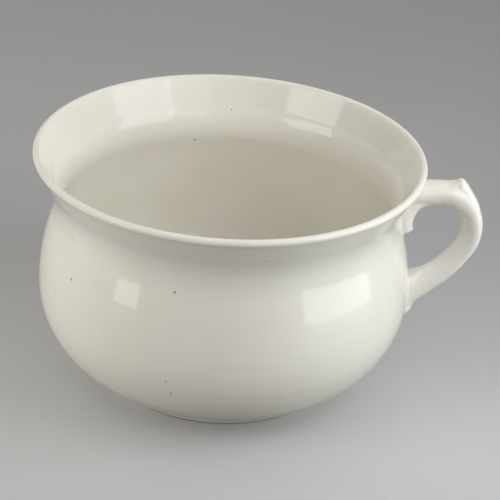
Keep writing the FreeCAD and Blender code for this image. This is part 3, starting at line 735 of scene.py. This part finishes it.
# a pale paper floor: the camera and the glaze see it pale, and it bounces less light up than it seems to
FLOOR_HALF = 4.0
PAPER_PALE = (0.84, 0.84, 0.84)
PAPER_DULL = (0.80, 0.80, 0.80)
PAPER_BOUNCE = (0.21, 0.205, 0.195)
PAPER_NOISE = (6, 3)
PAPER_ROUGH = 0.8
floor_mesh = bpy.data.meshes.new("floor")
floor_mesh.from_pydata(
    [(-FLOOR_HALF, -FLOOR_HALF, 0), (FLOOR_HALF, -FLOOR_HALF, 0), (FLOOR_HALF, FLOOR_HALF, 0),
     (-FLOOR_HALF, FLOOR_HALF, 0)], [], [(0, 1, 2, 3)])
floor = bpy.data.objects.new("floor", floor_mesh)
bpy.context.scene.collection.objects.link(floor)
floor_nodes = Nodes("floor_paper")
path = floor_nodes.add("ShaderNodeLightPath")
seen = floor_nodes.math("MAXIMUM", path.outputs["Is Camera Ray"], path.outputs["Is Glossy Ray"])
seen = floor_nodes.math("MAXIMUM", seen, path.outputs["Is Transmission Ray"])
paper = floor_nodes.mixed(floor_nodes.noise(*PAPER_NOISE), PAPER_DULL, PAPER_PALE)
paper = floor_nodes.mixed(seen, PAPER_BOUNCE, paper)
floor_nodes.link(paper, floor_nodes.shader.inputs["Base Color"])
floor_nodes.shader.inputs["Roughness"].default_value = PAPER_ROUGH
floor_mesh.materials.append(floor_nodes.material)


def panel(name, place, aim, width, height, glow, colour):
    """A soft rectangular lamp that faces a point. Its glow is the brightness it is seen with."""
    lamp = bpy.data.lights.new(name, "AREA")
    lamp.shape = "RECTANGLE"
    lamp.size = width
    lamp.size_y = height
    lamp.energy = glow * math.pi * width * height
    lamp.color = colour
    holder = bpy.data.objects.new(name, lamp)
    bpy.context.scene.collection.objects.link(holder)
    holder.location = place
    holder.rotation_euler = (Vector(aim) - Vector(place)).to_track_quat("-Z", "Y").to_euler()
    return holder


COOL = (0.935, 0.972, 1.0)
WARM = (1.0, 0.988, 0.97)
BOARD_AIM = (0, 0, 0.07)
# lamps: name, place, aim, width, height, glow, colour
panel("right_near", (0.52, -0.285, 0.50), (0, -0.285, 0.50), 0.53, 1.0, 1.9, COOL)
panel("right_high", (0.67, -1.11, 0.90), (0, 0, 0.10), 0.70, 0.70, 0.8, COOL)
panel("left_high", (-0.98, -0.55, 0.65), (0, 0, 0.10), 0.75, 0.60, 2.1, WARM)
panel("left_low", (-0.98, -0.60, 0.13), (0, 0, 0.13), 0.30, 0.20, 2.2, WARM)
# bounce boards, too broad and dull to be seen in the glaze, and kept off the floor
pot_pieces = bpy.data.collections.new("pot_pieces")
for piece in (bowl, foot, slip, handle, upper_seam, lower_seam):
    pot_pieces.objects.link(piece)
for name, place, width, height, glow, colour in (
        ("board_right", (1.30, 0.0, 0.20), 0.90, 0.38, 3.0, COOL),
        ("board_left", (-1.30, 0.0, 0.10), 1.20, 0.18, 12.5, WARM),
        ("board_front_right", (0.96, -0.55, 0.75), 0.60, 0.60, 2.1, COOL),
        ("board_front", (0.0, -1.10, 0.75), 0.80, 0.45, 1.1, WARM),
        ("board_back", (0.0, 0.84, 1.06), 0.90, 0.60, 2.3, WARM),
        ("board_top", (0.34, 0.0, 1.32), 0.90, 0.60, 1.8, WARM)):
    board = panel(name, place, BOARD_AIM, width, height, glow, colour)
    board.visible_glossy = False
    board.light_linking.receiver_collection = pot_pieces

ROOM_COLOUR = (1.0, 0.99, 0.97, 1)
ROOM_STRENGTH = 0.25
world = bpy.data.worlds.new("room")
bpy.context.scene.world = world
world.use_nodes = True
world.node_tree.nodes["Background"].inputs["Color"].default_value = ROOM_COLOUR
world.node_tree.nodes["Background"].inputs["Strength"].default_value = ROOM_STRENGTH

# the photograph's camera: place in metres, and turns in radians
CAMERA_AT = Vector((-0.03934, -0.90101, 0.56365))
PAN, TILT, ROLL = 0.0601, 0.4933, 0.0659
# its lens, in millimetres, and the nearest it sees, in metres
FOCAL_LENGTH = 122.4
SENSOR_WIDTH = 36
NEAREST = 0.01
ahead = Vector((math.sin(PAN) * math.cos(TILT), math.cos(PAN) * math.cos(TILT), -math.sin(TILT)))
level = Vector((math.cos(PAN), -math.sin(PAN), 0))
above = level.cross(ahead)
right = level * math.cos(ROLL) + above * math.sin(ROLL)
up = above * math.cos(ROLL) - level * math.sin(ROLL)
lens = bpy.data.cameras.new("camera")
lens.lens = FOCAL_LENGTH
lens.sensor_width = SENSOR_WIDTH
lens.clip_start = NEAREST
camera = bpy.data.objects.new("camera", lens)
bpy.context.scene.collection.objects.link(camera)
rotation = Matrix((right, up, -ahead)).transposed()
camera.matrix_world = Matrix.Translation(CAMERA_AT) @ rotation.to_4x4()
bpy.context.scene.camera = camera
bpy.context.scene.view_settings.view_transform = "Standard"
